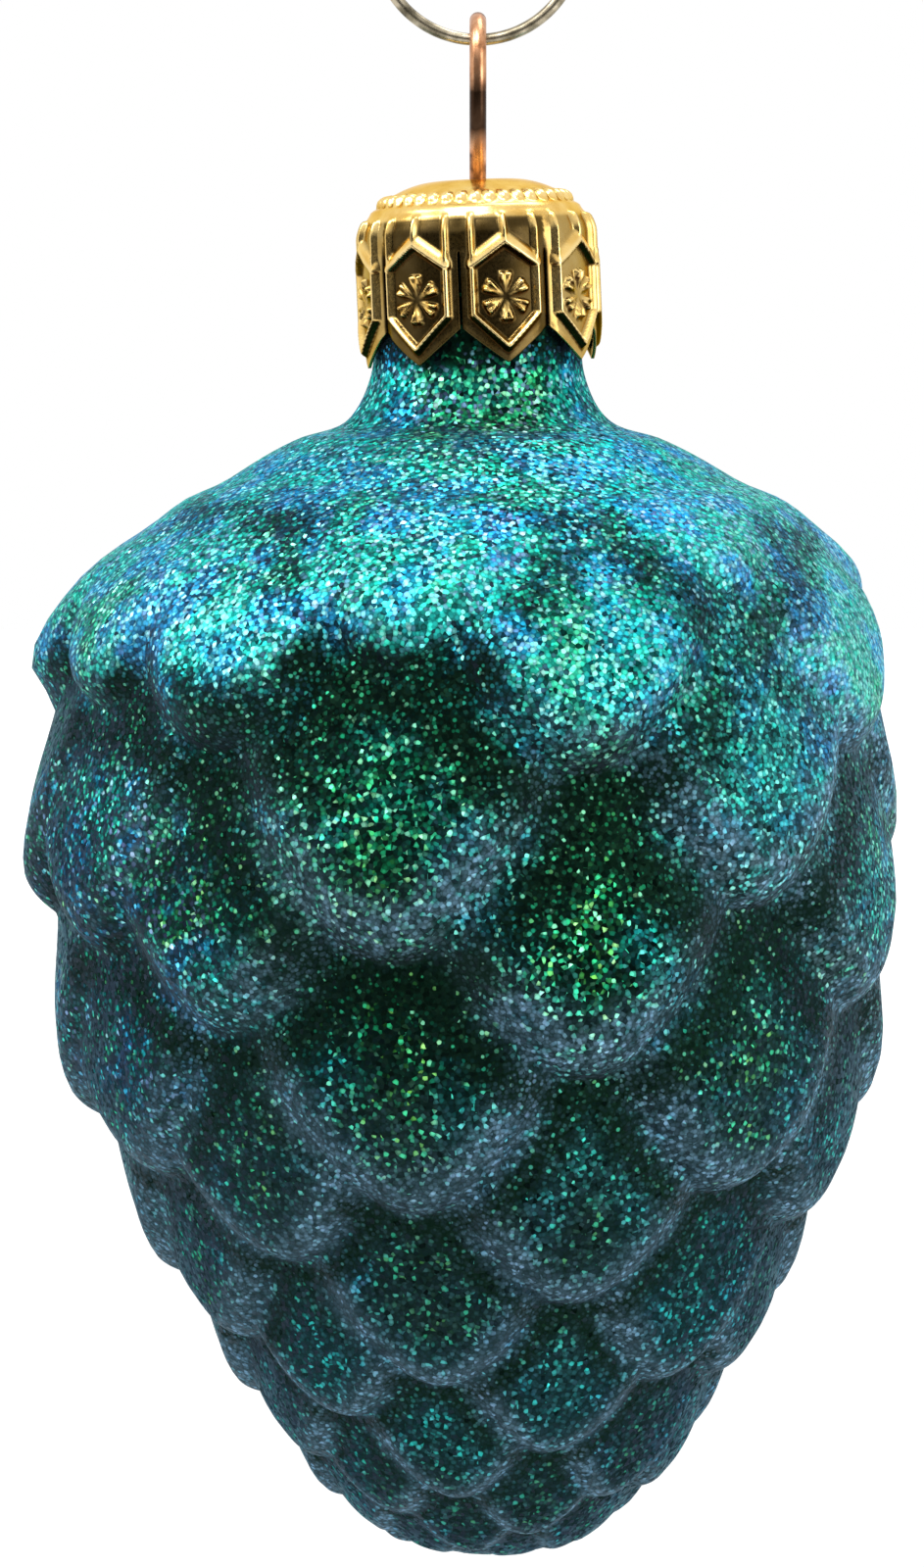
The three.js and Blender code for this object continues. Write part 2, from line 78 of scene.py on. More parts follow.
RING_MIDDLE = -RING_INSIDE / 2
RING_FOOT = -RING_INSIDE - RING_WIRE / 2
LOOP_TOP = RING_FOOT + RING_WIRE / 2 + GAP + WIRE / 2
CAP_TOP = LOOP_TOP + WIRE / 2 - LOOP_HEIGHT
CAP_H = DOME_H + SKIRT
HOLE_R = THROAT / 2 + WIRE / 2 + GAP
BORE_CAP = CAP_R - SHEET
NECK_FOOT = BORE_CAP - NECK_GAP
NECK_R = NECK_FOOT - NECK_TAPER
BORE = NECK_R - WALL
NECK_FOOT_Z = CAP_TOP - CAP_H - NECK_SHOWS
LEG_END = NECK_FOOT_Z + LEG_SHORT


def dome_drop(share, height):
    """How far the dome has dropped at a share of the way from its flat top to its side."""
    return height * (1 - (1 - share**DOME_POWER) ** (1 / DOME_POWER))


MOUTH_OUT = (NECK_R - DOME_FLAT) / (BORE_CAP - DOME_FLAT)
NECK_TOP = CAP_TOP - SHEET - dome_drop(MOUTH_OUT, DOME_H - SHEET) - MOUTH_GAP

# Corners of the smooth surface under the scales, as shares of its width and of its length
SHOULDER = [
    (0.09, 0.01), (0.275, 0.026), (0.46, 0.05), (0.69, 0.088),
    (0.86, 0.135), (0.945, 0.19), (0.97, 0.274), (0.985, 0.377),
]
LOWER = [
    (0.97, 0.463), (0.93, 0.549), (0.85, 0.627), (0.75, 0.705), (0.645, 0.782),
    (0.53, 0.853), (0.41, 0.916), (0.28, 0.963), (0.145, 0.99),
]

# Shapes and places of the scales
STEP, HALF_TURN, DEPTH, CURVE = 0.33, math.radians(21), 1.22, 1.9
LIP, LIP_SLOPE, LIP_ROUND, TAPER = 0.1315, 0.14, 0.64, 3.4
RIM, RIM_IN, RIM_SPREAD = 0.05, 0.6, 0.45
BULGE, BULGE_UP, BULGE_SPREAD, SIDE_DROP = 0.16, 0.65, 0.6, 0.12
UNEVEN, BARE_RISE, BLEND, COVER_MARGIN = 0.06, 0.55, 0.16, 0.40
LIFT, FIRST_LIPS, FADE_START, FADE_LENGTH = 2.0, 0.19, -1.7, 2.3
RINGS, UPPER_RINGS, DRIFT_SPAN, WIDEST, TIP_REACH = 13, 2, 7, 1.3, 6.0
# Where the painted sheen lies on each lip and the painted shade below it, and how wide, in falls of the
# lip
HAZE_PLACE, HAZE_SPREAD, UNDER_PLACE, UNDER_DEEPER, UNDER_SPREAD = 0.12, 0.5, 0.45, 0.38, 0.47
OUTSIDE = -99  # stands for any place outside a scale
FIRST_COLUMN = math.radians(-87.6)

# How finely the body is divided, and the shape of its inside
COLUMN_SIDES, EDGE_RINGS, NECK_ROWS, SCALE_ROWS = 20, 12, 56, 8
TIP_ROWS, EDGE_ROWS, EDGE_REACH = 6, 5, 0.18
INSIDE_SHARE, INSIDE_ROWS = 0.35, 40

# Shares of the body's length, and how far it stands to the right there
SWAY = [(0, 0), (0.09, 0.4), (0.225, -0.5), (0.39, -0.6), (0.58, 0), (0.77, 0.7), (1, 0.8)]

# Of each column of scales: the shift of its lips at ring 0 and at ring DRIFT_SPAN, and their height
COLUMNS = [
    (1.2, -0.3, 1.2), (0.35, -0.5, 1.05), (-0.4, -0.5, 1.0), (0.0, -0.1, 1.0), (-0.35, 0.0, 1.0),
    (-0.5, 0.1, 1.0), (-0.2, -0.8, 0.95), (-0.25, -0.5, 0.9), (-0.2, -0.5, 0.95), (0.0, 0.0, 1.0),
    (0.0, 0.0, 1.0), (0.0, 0.0, 1.0), (0.3, 0.0, 1.0), (0.6, -0.2, 1.1),
]


def smooth(value):
    """Rises smoothly from 0 to 1."""
    value = np.clip(value, 0.0, 1.0)
    return value * value * (3.0 - 2.0 * value)


def grey(value):
    return (value, value, value, 1.0)


WELD, SHORT_EDGE = 1e-7, 1e-8  # in metres


def new_object(name, vertices, faces, material, slots=None, tone=None):
    """A smooth-shaded object from vertices in mm.

    slots gives each face's material, and tone gives each point's colour.
    """
    mesh = bpy.data.meshes.new(name)
    mesh.from_pydata((np.asarray(vertices) * MM).tolist(), [], faces)
    materials = material if isinstance(material, (list, tuple)) else [material]
    for each in materials:
        mesh.materials.append(each)
    if slots is not None:
        mesh.polygons.foreach_set("material_index", slots)
    if tone is not None:
        layer = mesh.color_attributes.new("tone", "FLOAT_COLOR", "POINT")
        layer.data.foreach_set("color", np.asarray(tone, dtype=np.float32).ravel())
    mesh.polygons.foreach_set("use_smooth", [True] * len(mesh.polygons))
    work = bmesh.new()
    work.from_mesh(mesh)
    bmesh.ops.remove_doubles(work, verts=work.verts, dist=WELD)
    bmesh.ops.dissolve_degenerate(work, edges=work.edges, dist=SHORT_EDGE)
    bmesh.ops.recalc_face_normals(work, faces=work.faces)
    work.to_mesh(mesh)
    work.free()
    mesh.update()
    piece = bpy.data.objects.new(name, mesh)
    bpy.context.scene.collection.objects.link(piece)
    return piece


def grid_faces(rows, columns, wrap_columns=True, wrap_rows=False, start=0):
    """Quads of a grid whose point (row, column) is number start + row * columns + column."""
    faces = []
    for row in range(rows if wrap_rows else rows - 1):
        below = (row + 1) % rows
        for column in range(columns if wrap_columns else columns - 1):
            beside = (column + 1) % columns
            faces.append((
                start + row * columns + column, start + below * columns + column,
                start + below * columns + beside, start + row * columns + beside,
            ))
    return faces


# A wire's rounded end: how far from its tip, and how thick there, both in radii of the wire
ROUND_END = [(0.02, 0.35), (0.12, 0.7), (0.35, 0.93), (0.7, 1.0)]


def tube(name, path, radius, sides, material):
    """A round wire with rounded ends along path, which lies in the plane X = 0 or Y = 0."""
    along = np.gradient(path, axis=0)
    along /= np.linalg.norm(along, axis=1)[:, None]
    flat = np.array([1.0, 0, 0]) if np.ptp(path[:, 0]) < 1e-6 else np.array([0, 1.0, 0])
    side = np.cross(along, flat)
    length = np.concatenate([[0], np.cumsum(np.linalg.norm(np.diff(path, axis=0), axis=1))])
    span = length[-1]
    reaches, sizes = zip(*ROUND_END)
    stations = [t * radius for t in reaches] + list(np.linspace(radius, span - radius, len(path)))
    stations += [span - t * radius for t in reversed(reaches)]
    shares = [*sizes, *[1.0] * len(path), *reversed(sizes)]
    rows = []
    for station, share in zip(stations, shares):
        middle = np.array([np.interp(station, length, path[:, k]) for k in range(3)])
        out = np.array([np.interp(station, length, side[:, k]) for k in range(3)])
        out /= np.linalg.norm(out)
        turn = np.linspace(0, 2 * np.pi, sides, endpoint=False)[:, None]
        rows.append(middle + radius * share * (np.cos(turn) * out + np.sin(turn) * flat))
    points = np.concatenate(rows)
    faces = grid_faces(len(rows), sides)
    faces.append(tuple(range(sides)))
    faces.append(tuple(reversed(range(len(points) - sides, len(points)))))
    return new_object(name, points, faces, material)


class Nodes:
    """A node tree under construction."""

    def __init__(self, tree):
        self.tree = tree
        tree.nodes.clear()

    def set(self, node, key, value):
        socket = node.inputs[key]
        if isinstance(value, bpy.types.NodeSocket):
            self.tree.links.new(value, socket)
        else:
            socket.default_value = value

    def node(self, kind, inputs=None, **settings):
        made = self.tree.nodes.new("ShaderNode" + kind)
        for key, value in settings.items():
            setattr(made, key, value)
        for key, value in (inputs or {}).items():
            self.set(made, key, value)
        return made

    def math(self, operation, a, b=0.0, clamp=False):
        return self.node("Math", {0: a, 1: b}, operation=operation, use_clamp=clamp).outputs[0]

    def times(self, *values):
        product = values[0]
        for value in values[1:]:
            product = self.math("MULTIPLY", product, value)
        return product

    def plus(self, *values, clamp=False):
        total = values[0]
        for value in values[1:]:
            total = self.math("ADD", total, value, clamp)
        return total

    def vector(self, operation, a, b=(0, 0, 0), scale=None):
        made = self.node("VectorMath", {0: a, 1: b}, operation=operation)
        if scale is not None:
            self.set(made, "Scale", scale)
        return made.outputs[0]

    def mix(self, factor, a, b):
        return self.node("Mix", {0: factor, 6: a, 7: b}, data_type="RGBA").outputs[2]

    def ramp(self, factor, *stops):
        made = self.node("ValToRGB", {0: factor})
        elements = made.color_ramp.elements
        while len(elements) < len(stops):
            elements.new(0.5)
        for element, (place, colour) in zip(elements, stops):
            element.position = place
            element.color = (*colour, 1.0)
        return made.outputs[0]

    def remap(self, value, low, high, to_low=0.0, to_high=1.0):
        limits = {0: value, 1: low, 2: high, 3: to_low, 4: to_high}
        return self.node("MapRange", limits, clamp=True).outputs[0]

    def noise(self, place, scale, detail=3.0, roughness=0.5):
        inputs = {"Vector": place, "Scale": scale, "Detail": detail, "Roughness": roughness}
        return self.node("TexNoise", inputs).outputs[0]

    def place(self):
        return self.node("TexCoord").outputs["Object"]

    def tones(self):
        """The red, green and blue of the piece's tone attribute."""
        layer = self.node("VertexColor", layer_name="tone").outputs[0]
        return self.node("SeparateColor", {0: layer}).outputs[:3]

    def background_rays(self):
        """One for a camera, reflected or transmitted ray, which look at the background, else zero."""
        rays = self.node("LightPath").outputs
        seen = self.math("MAXIMUM", rays["Is Camera Ray"], rays["Is Glossy Ray"])
        return self.math("MAXIMUM", seen, rays["Is Transmission Ray"])


class Look(Nodes):
    """A material under construction."""

    def __init__(self, name):
        self.material = bpy.data.materials.new(name)
        self.material.use_nodes = True
        super().__init__(self.material.node_tree)
        self.shader = self.node("BsdfPrincipled")
        self.node("OutputMaterial", {"Surface": self.shader.outputs[0]})

    def finish(self, **sockets):
        for key, value in sockets.items():
            self.set(self.shader, key.replace("_", " "), value)
        return self.material


# Colours of the glitter's grains, from the dimmest to the brightest
GREEN = [
    (0.0, (0.000, 0.005, 0.002)), (0.50, (0.001, 0.024, 0.010)), (0.72, (0.003, 0.100, 0.038)),
    (0.86, (0.010, 0.320, 0.120)), (0.94, (0.050, 0.720, 0.300)), (0.985, (0.300, 1.000, 0.580)),
]
OLIVE = [
    (0.0, (0.001, 0.005, 0.001)), (0.50, (0.004, 0.024, 0.004)), (0.72, (0.012, 0.080, 0.009)),
    (0.86, (0.045, 0.230, 0.020)), (0.94, (0.160, 0.540, 0.060)), (0.985, (0.450, 1.000, 0.250)),
]
TEAL = [
    (0.0, (0.000, 0.013, 0.013)), (0.45, (0.001, 0.062, 0.060)), (0.68, (0.003, 0.200, 0.185)),
    (0.84, (0.007, 0.470, 0.420)), (0.94, (0.030, 0.850, 0.700)), (0.985, (0.220, 1.000, 0.850)),
]
BLUE = [
    (0.0, (0.001, 0.012, 0.026)), (0.45, (0.003, 0.048, 0.115)), (0.68, (0.008, 0.140, 0.330)),
    (0.85, (0.018, 0.330, 0.720)), (0.95, (0.080, 0.640, 0.980)), (0.985, (0.300, 0.850, 1.000)),
]
VIOLET = [
    (0.0, (0.006, 0.008, 0.020)), (0.50, (0.040, 0.045, 0.110)), (0.80, (0.130, 0.160, 0.380)),
    (0.95, (0.340, 0.440, 0.850)), (0.99, (0.600, 0.750, 1.000)),
]
GREY_MIST = [
    (0.0, (0.006, 0.014, 0.011)), (0.35, (0.028, 0.054, 0.046)), (0.70, (0.070, 0.130, 0.125)),
    (0.90, (0.140, 0.290, 0.290)), (0.98, (0.300, 0.650, 0.640)),
]
BLUE_MIST = [
    (0.0, (0.030, 0.062, 0.084)), (0.20, (0.070, 0.135, 0.180)), (0.60, (0.125, 0.235, 0.340)),
    (0.90, (0.200, 0.350, 0.530)), (0.99, (0.300, 0.540, 0.780)),
]
# Colour of the dark gaps between grains, and of the painted shade
SHADE = (0.002, 0.010, 0.004, 1.0)

# Sizes of the glitter's grains and of its clouds of colour, as how many go into a metre
GRAIN_SCALE, SECOND_DRAW, BROAD_CLOUDS, CLOUDS, PATCHES, HOLES = 3700.0, 3.7, 90.0, 210.0, 330.0, 1300.0


def glitter_zones(look, place):
    """Parts of the body that the glitter treats in their own way, each from 0 to 1; several carry
    painted light and shade.

    Their heights, and their places to the right and to the back, are in metres.
    """
    right, back, height = look.node("SeparateXYZ", {0: place}).outputs[:3]
    across = look.math("ABSOLUTE", right)
    wavy = look.plus(height, look.times(look.noise(place, CLOUDS, 3.0), 0.006), -0.003)
    facing_up = look.node("SeparateXYZ", {0: look.node("TexCoord").outputs["Normal"]}).outputs[2]

    zone = SimpleNamespace()
    # Painted shade on surfaces that face down, and painted sheen over them
    zone.hanging = look.remap(facing_up, 0.0, -0.45)
    zone.hanging_share = look.remap(height, -0.088, -0.064, 0.0, 0.6)
    # Painted light from above: more bright grains on the upper body
    zone.upper = look.remap(height, -0.070, -0.050)
    # Painted shade: fewer and dimmer bright grains towards the bottom, with more painted sheen
    zone.lower = look.remap(height, -0.070, -0.090)
    # Less painted sheen on the upper body
    zone.clear = look.remap(height, -0.059, -0.051, 1.0, 0.15)
    zone.high = look.remap(height, -0.056, -0.042)
    zone.shoulder = look.times(zone.high, look.remap(across, 0.008, 0.018))
    zone.neck = look.remap(height, -0.0385, -0.0355)
    zone.neck_middle = look.times(zone.neck, look.remap(across, 0.0022, 0.0050, 1.0, 0.0))
    # The neck under the cap's petals goes dark: painted shade of the cap, and less glitter on the neck
    # there
    zone.covered = look.remap(height, -0.0330, -0.0314)

    middle_up = look.remap(height, -0.085, -0.060)
    zone.flanks = look.times(middle_up, look.remap(across, 0.010, 0.022))
    # Painted sheen on the flanks, stronger towards the right
    zone.flank_mist = look.times(zone.flanks, look.remap(right, -0.005, 0.012, 0.12, 0.38))
    # Painted light on the right edge
    zone.right_edge = look.times(middle_up, look.remap(right, 0.0200, 0.0250))
    # Painted shade on the left edge of the middle body
    zone.left_edge = look.times(
        middle_up, look.remap(right, -0.0215, -0.0250), look.remap(height, -0.0550, -0.0620))
    zone.left_band = look.times(
        look.remap(height, -0.0840, -0.0740), look.remap(height, -0.0530, -0.0600),
        look.remap(right, -0.0130, -0.0180))
    # Where the painted shade under the lips is lighter, on the lit right side
    zone.bright_side = look.times(look.remap(height, -0.062, -0.054), look.remap(right, 0.010, 0.015))
    # A painted shadow under the first lips, on the left front
    zone.first_shade = look.times(
        look.remap(right, -0.0205, -0.0165), look.remap(right, -0.0065, -0.0100),
        look.remap(wavy, -0.0600, -0.0570), look.remap(wavy, -0.0500, -0.0525),
        look.remap(back, 0.0, -0.005, 0.0, 0.75))
    return zone


def grain_picks(look, zone, under, random):
    """Where on its ramp each grain's colour stands: a higher power leaves fewer bright grains."""
    # The power paints light on the upper body, shoulder and right edge, and shade under the lips, on
    # downward faces, towards the bottom, under the cap and on the left edge
    power = look.plus(
        1.25, under, look.times(zone.upper, -1.02), look.times(zone.lower, 2.3),
        look.times(zone.hanging, 0.4), look.times(zone.covered, 1.5), look.times(zone.neck, 0.12),
        look.times(zone.shoulder, -0.09), look.times(zone.left_edge, 1.1),
        look.times(zone.left_band, -0.10), look.times(zone.right_edge, -0.45))
    power = look.math("MAXIMUM", power, 0.1)
    # Painted shade: the brightest grains are left out towards the bottom
    brightest = look.math("SUBTRACT", 1.0, look.times(zone.lower, 0.19))
    return look.math("MINIMUM", look.math("POWER", random, power), brightest)


def grain_colours(look, zone, place, pick, draws, side, shaded):
    """Green and olive grains, with patches of teal, blue and violet on the shoulder and flanks."""
    other, rare = draws
    warm = look.times(look.remap(other, 0.60, 0.72), look.remap(zone.upper, 0.0, 0.8, 1.0, 0.25))
    teal_share = look.plus(
        look.times(zone.high, 0.60), look.times(side, 0.45), look.times(zone.neck_middle, -1.2))
    broad = look.noise(place, BROAD_CLOUDS, 2.0)
    to_teal = look.times(look.plus(look.remap(broad, 0.48, 0.66), teal_share, clamp=True), shaded)
    blue_share = look.plus(
        look.times(zone.high, 0.85), look.times(side, 0.65), look.times(zone.neck_middle, -0.75), 0.03,
        look.times(zone.flanks, 0.65), look.times(zone.shoulder, 0.35),
        look.times(zone.left_edge, -0.6), look.times(zone.left_band, 0.65))
    blue_share = look.times(look.math("MAXIMUM", blue_share, 0.0), shaded)
    to_blue = look.times(look.remap(look.noise(place, PATCHES, 3.0), 0.46, 0.62), blue_share)
    violet_share = look.plus(
        look.times(zone.high, 0.45), look.times(side, 0.30), look.times(zone.left_band, 0.60), 0.10)
    to_violet = look.times(look.remap(rare, 0.78, 0.82), look.times(violet_share, shaded))
    colour = look.mix(warm, look.ramp(pick, *GREEN), look.ramp(pick, *OLIVE))
    colour = look.mix(to_teal, colour, look.ramp(pick, *TEAL))
    colour = look.mix(to_blue, colour, look.ramp(pick, *BLUE))
    return look.mix(to_violet, colour, look.ramp(pick, *VIOLET))


def add_mist(look, zone, place, pick, haze, colour):
    """The dull mist over the lips of the scales, flanks and undersides, partly a painted sheen: the
    misted colour, and how much mist there is.
    """
    cloud = look.noise(place, CLOUDS, 3.0)
    mist = look.plus(haze, look.times(zone.hanging, zone.hanging_share), clamp=True)
    mist = look.times(mist, zone.clear, look.remap(cloud, 0.35, 0.6, 0.7, 1.0))
    mist = look.plus(mist, zone.flank_mist, look.times(zone.lower, 0.14), clamp=True)
    mist = look.times(mist, look.remap(zone.left_band, 0.0, 1.0, 1.0, 0.5))
    holes = look.remap(look.noise(place, HOLES, 2.0), 0.36, 0.62, 0.25, 1.0)
    ragged = look.times(mist, look.plus(holes, look.times(zone.lower, 0.3), clamp=True))
    blueness = look.plus(
        look.remap(zone.lower, 0.0, 0.5), look.remap(cloud, 0.42, 0.58, 0.25, 0.9), clamp=True)
    blueness = look.plus(blueness, look.times(zone.left_edge, -0.8), clamp=True)
    misty = look.mix(blueness, look.ramp(pick, *GREY_MIST), look.ramp(pick, *BLUE_MIST))
    return look.mix(ragged, colour, misty), mist


def glitter_look():
    """Very fine iridescent glitter: one random colour, tilt and gloss for each grain, under painted
    light, shade and sheen.
    """
    look = Look("glitter")
    place = look.place()
    grains = look.node("TexVoronoi", {"Vector": place, "Scale": GRAIN_SCALE, "Randomness": 1.0}).outputs
    centre = grains["Position"]
    first = look.node("TexWhiteNoise", {"Vector": centre}).outputs
    elsewhere = look.vector("SCALE", centre, scale=SECOND_DRAW)
    second = look.node("TexWhiteNoise", {"Vector": elsewhere}).outputs
    other, rare = second["Value"], look.node("SeparateColor", {0: second["Color"]}).outputs[1]

    # haze is a painted sheen on the lips, and under a painted shade below them
    haze, under, side = look.tones()
    zone = glitter_zones(look, place)
    # The painted shade is lighter on the lit right side, and a painted shadow is added under the first
    # lips
    under = look.times(under, look.remap(zone.bright_side, 0.0, 1.0, 1.0, 0.4))
    under = look.math("MAXIMUM", under, zone.first_shade)
    shaded = look.math("SUBTRACT", 1.0, look.times(under, 0.85))
    pick = grain_picks(look, zone, under, first["Value"])
    colour = grain_colours(look, zone, place, pick, (other, rare), side, shaded)
    colour, mist = add_mist(look, zone, place, pick, haze, colour)
    gap = look.remap(grains["Distance"], 0.40, 0.62)
    # Dark gaps between the grains, painted shade under the lips, and the darker neck under the cap
    dark = look.plus(
        look.times(gap, 0.5), look.times(under, 0.62), look.times(zone.covered, 0.7), clamp=True)
    colour = look.mix(dark, colour, SHADE)

    turn = look.vector("SUBTRACT", first["Color"], (0.5, 0.5, 0.5))
    tilt = look.vector("SCALE", turn, scale=look.remap(other, 0.0, 1.0, 0.2, 1.15))
    leaning = look.vector("ADD", look.node("NewGeometry").outputs["Normal"], tilt)
    rough = look.plus(look.remap(other, 0.0, 1.0, 0.46, 0.26), look.times(mist, 0.2), clamp=True)
    return look.finish(
        Base_Color=colour, Metallic=look.math("SUBTRACT", 0.90, look.times(mist, 0.45)),
        Roughness=rough, Normal=look.vector("NORMALIZE", leaning),
        Sheen_Weight=0.10, Sheen_Roughness=0.5, Sheen_Tint=(0.42, 0.60, 0.85, 1.0),
        Specular_IOR_Level=0.2, Specular_Tint=(0.15, 0.45, 0.55, 1.0))


def silver_look():
    """The silvering inside the glass, a little tarnished."""
    look = Look("silvering")
    cloud = look.noise(look.place(), 160.0, 4.0)
    colour = look.ramp(
        cloud, (0.3, (0.55, 0.56, 0.55)), (0.6, (0.80, 0.81, 0.80)), (0.8, (0.62, 0.60, 0.54)))
    rough = look.remap(cloud, 0.3, 0.7, 0.12, 0.32)
    return look.finish(Base_Color=colour, Metallic=1.0, Roughness=rough)


SCRATCH_DEPTH = 0.00002  # in metres


def gold_look():
    """Pressed gold-coloured sheet, with painted highlights on its ridges and beads, and painted shade
    in its hollows and slits and under its downward-facing facets.
    """
    look = Look("cap_gold")
    place = look.place()
    hollow, ridge, below = look.tones()
    cloud = look.noise(place, 700.0, 4.0)
    fine = look.noise(place, 6000.0, 2.0)
    base = look.ramp(
        cloud, (0.3, (0.74, 0.45, 0.11)), (0.5, (0.88, 0.59, 0.19)), (0.75, (0.97, 0.72, 0.29)))
    recess_shade = look.ramp(
        cloud, (0.3, (0.003, 0.002, 0.001)), (0.6, (0.014, 0.007, 0.002)), (0.8, (0.050, 0.026, 0.006)))
    # Painted shade in the hollows and slits
    colour = look.mix(look.times(hollow, 0.97), base, recess_shade)
    # Painted highlight on the crests of the ridges and beads
    colour = look.mix(look.times(ridge, 0.6), colour, (1.0, 0.80, 0.40, 1.0))
    # Painted shade under the facets that face down
    colour = look.mix(below, colour, (0.035, 0.014, 0.003, 1.0))
    rough = look.plus(look.remap(fine, 0.3, 0.7, 0.15, 0.25), look.times(hollow, 0.1))
    bump = look.node("Bump", {"Strength": 0.12, "Distance": SCRATCH_DEPTH, "Height": fine})
    return look.finish(
        Base_Color=colour, Metallic=1.0, Roughness=rough, Normal=bump.outputs[0],
        Specular_Tint=(0.95, 0.78, 0.42, 1.0))


def wire_look(name, light, dark, grime, dark_band):
    """Drawn wire with clouds of tarnish and small scratches.

    The last argument is a darker band round the wire: its two heights and the width of its soft ends,
    in metres.
    """
    look = Look(name)
    place = look.place()
    cloud = look.noise(place, 900.0, 4.0)
    fine = look.noise(look.vector("MULTIPLY", place, (6.0, 6.0, 1.0)), 2500.0, 3.0)
    colour = look.ramp(cloud, (0.26, grime), (0.42, dark), (0.66, light))
    height = look.plus(look.node("SeparateXYZ", {0: place}).outputs[2], look.times(cloud, 0.0012))
    # The wire is darker between the two heights
    low, high, soft = dark_band
    inside = look.times(look.remap(height, low, low + soft), look.remap(height, high, high - soft))
    colour = look.mix(look.times(inside, 0.95), colour, (*grime, 1.0))
    rough = look.plus(look.remap(cloud, 0.3, 0.7, 0.34, 0.18), look.times(fine, 0.1))
    bump = look.node("Bump", {"Strength": 0.15, "Distance": SCRATCH_DEPTH, "Height": fine})
    return look.finish(Base_Color=colour, Metallic=1.0, Roughness=rough, Normal=bump.outputs[0])


glitter = glitter_look()
silver = silver_look()
gold = gold_look()
copper = wire_look(
    "hanger_copper", (0.74, 0.40, 0.22), (0.46, 0.21, 0.10), (0.014, 0.008, 0.005),
    dark_band=(-0.0187, -0.0140, 0.0012))
brass = wire_look(
    "ring_brass", (0.52, 0.45, 0.33), (0.22, 0.19, 0.13), (0.050, 0.042, 0.028),
    dark_band=(-0.0140, -0.0122, 0.0003))


def spline(corners, per):
    """A uniform Catmull-Rom curve through the corners, with per points for each."""
    p = np.vstack([corners[:1], corners, corners[-1:]])
    share = np.linspace(0, 1, per, endpoint=False)[:, None]
    runs = []
    for i in range(len(corners) - 1):
        p0, p1, p2, p3 = p[i:i + 4]
        v0, v1 = (p2 - p0) / 2, (p3 - p1) / 2
        cubic, square = 2 * p1 - 2 * p2 + v0 + v1, -3 * p1 + 3 * p2 - 2 * v0 - v1
        runs.append(cubic * share**3 + square * share**2 + v0 * share + p1)
    return np.vstack(runs + [corners[-1:]])


GROUND_POINTS = 60  # between two corners of the ground's outline
FAR_AWAY = 1e9


class Ground:
    """The smooth surface under the scales.

    It keeps the radius, height, outward direction and ring step of fine rows from the mouth to the tip.
    """

    def __init__(self):
        reach = BODY_R - NECK_FOOT
        corners = [(NECK_R, NECK_TOP), ((NECK_R + NECK_FOOT) / 2, (NECK_TOP + NECK_FOOT_Z) / 2)]
        corners += [(NECK_FOOT, NECK_FOOT_Z + FOOT_BLEND)]
        corners += [(NECK_FOOT + reach * a, NECK_FOOT_Z - b * BODY_LENGTH) for a, b in SHOULDER]
        corners += [(BODY_R * a, NECK_FOOT_Z - b * BODY_LENGTH) for a, b in LOWER]
        corners += [(0.0, NECK_FOOT_Z - BODY_LENGTH)]
        self.points = spline(np.array(corners), GROUND_POINTS)
        along = np.gradient(self.points, axis=0)
        along /= np.linalg.norm(along, axis=1)[:, None]
        self.out = np.column_stack([-along[:, 1], along[:, 0]])
        self.out[-1] = (0, -1)
        r = self.points[:, 0]
        lengths = np.linalg.norm(np.diff(self.points, axis=0), axis=1)
        steps = lengths / (STEP * ((r[1:] + r[:-1]) / 2 + LIFT))
        self.step = np.concatenate([[0], np.cumsum(steps)])
        first = NECK_FOOT_Z - FIRST_LIPS * BODY_LENGTH
        self.step -= self.step[np.nonzero(self.points[:, 1] > first)[0][-1]]

    def at(self, step):
        fields = (self.points[:, 0], self.points[:, 1], self.out[:, 0], self.out[:, 1])
        return [np.interp(step, self.step, values) for values in fields]


def across_column(turn, index):
    away = turn - FIRST_COLUMN - index * 2 * np.pi / len(COLUMNS)
    return np.arctan2(np.sin(away), np.cos(away)) / HALF_TURN


def lip_step(column, ring):
    share = min(max(ring / DRIFT_SPAN, -1), 1)
    return ring + column[0] + (column[1] - column[0]) * share


def edge_steps(ring, turn):
    """Ring step of a ring's visible edge at each turn."""
    own = np.full(turn.shape, -FAR_AWAY)
    cover = np.full(turn.shape, -FAR_AWAY)
    for i, column in enumerate(COLUMNS):
        across = np.abs(across_column(turn, i))
        edge = np.where(across < WIDEST, DEPTH * across**CURVE, FAR_AWAY)
        if (i + ring) % 2:
            own = np.maximum(own, lip_step(column, ring) - edge)
        else:
            cover = np.maximum(cover, lip_step(column, ring - 1) - edge + COVER_MARGIN)
    return np.maximum(own, cover)


def bell(value, middle, spread):
    """A soft hump of height 1."""
    return np.exp(-(((value - middle) / spread) ** 2))


def scale_top(i, ring, turn, step, lip, fall, lift):
    """One scale's height, way inside its edge, uncut top and way from its column, or nothing."""
    column = COLUMNS[i]
    side = np.abs(across_column(turn, i))
    edge = DEPTH * side**CURVE
    slope = DEPTH * CURVE * side ** (CURVE - 1) * (STEP / HALF_TURN)
    below = lip_step(column, ring) - step
    on = (side <= WIDEST) & (below > -1) & (below < TAPER)
    if not on.any():
        return None
    inside = (below - edge) * STEP * lift / np.hypot(1, slope)
    rim = RIM * bell(inside / fall, RIM_IN, RIM_SPREAD)
    bulge = BULGE * bell(below, BULGE_UP, BULGE_SPREAD) - SIDE_DROP * side**2
    uneven = 1 + UNEVEN * math.sin(2.3 * i + 4.1 * ring)
    top = np.where(on, lip * column[2] * uneven * (1 - below / TAPER + rim + bulge), 0.0)
    share = np.clip(inside / fall + 0.5, 0, 1)
    height = (1 - (1 - share) ** 2) ** LIP_ROUND * top
    return height, np.where(on, inside, OUTSIDE), top, np.where(on, side, 0)


